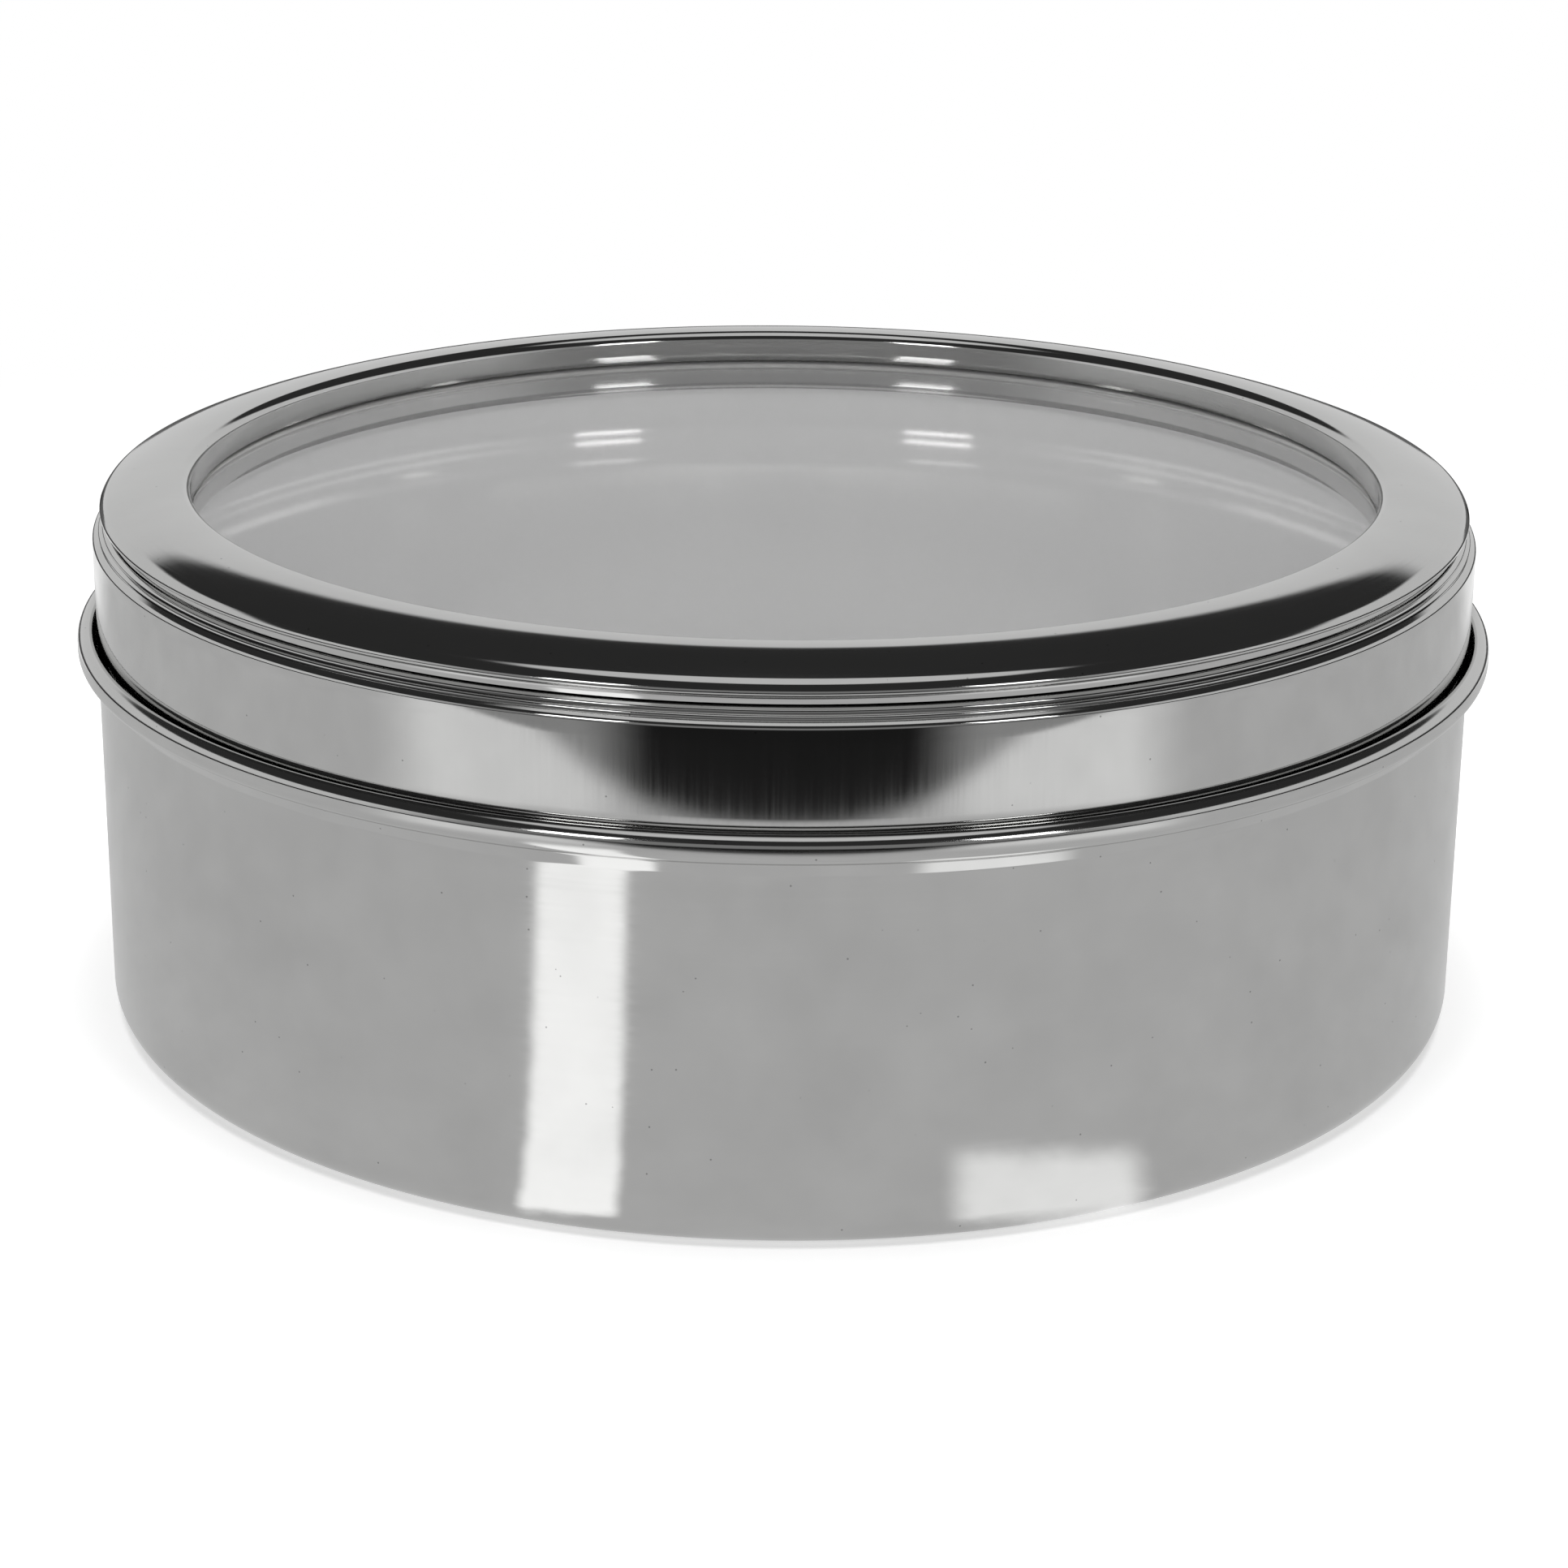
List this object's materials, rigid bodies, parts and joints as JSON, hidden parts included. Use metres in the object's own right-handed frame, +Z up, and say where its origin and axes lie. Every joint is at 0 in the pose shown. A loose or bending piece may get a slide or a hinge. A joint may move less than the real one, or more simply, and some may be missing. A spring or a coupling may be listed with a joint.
{
  "type": "round food box with see-through lid",
  "caption": "Round stainless steel bread box with a flared rolled rim and a lift-off lid: a domed metal ring round a flat clear window.",
  "frame": {"origin": "centre of the flat base's underside, on the surface that the box stands on", "axes": "+Z up along the axis that the box and its lid are turned about; the box is round, so +X and +Y are any two level directions"},
  "size_m": [0.24, 0.24, 0.0916],
  "materials": {
    "container_steel": "satin polished stainless steel, faint turning marks",
    "lid_steel": "polished stainless steel, faint turning marks",
    "crown_steel": "polished stainless steel",
    "window_acrylic": "clear cast acrylic, flat and glossy",
    "seal_silicone": "pale translucent silicone, matt"
  },
  "bodies": {
    "container": {"container_body": "container_steel"},
    "lid": {"lid_skirt": "lid_steel", "lid_crown_ring": "crown_steel", "lid_window": "window_acrylic", "window_seal": "seal_silicone"}
  },
  "joints": [
    {"name": "lid_lift", "type": "slide", "parent": "container", "child": "lid", "axis": [0, 0, 1], "range_m": [0, 0.12]}
  ]
}
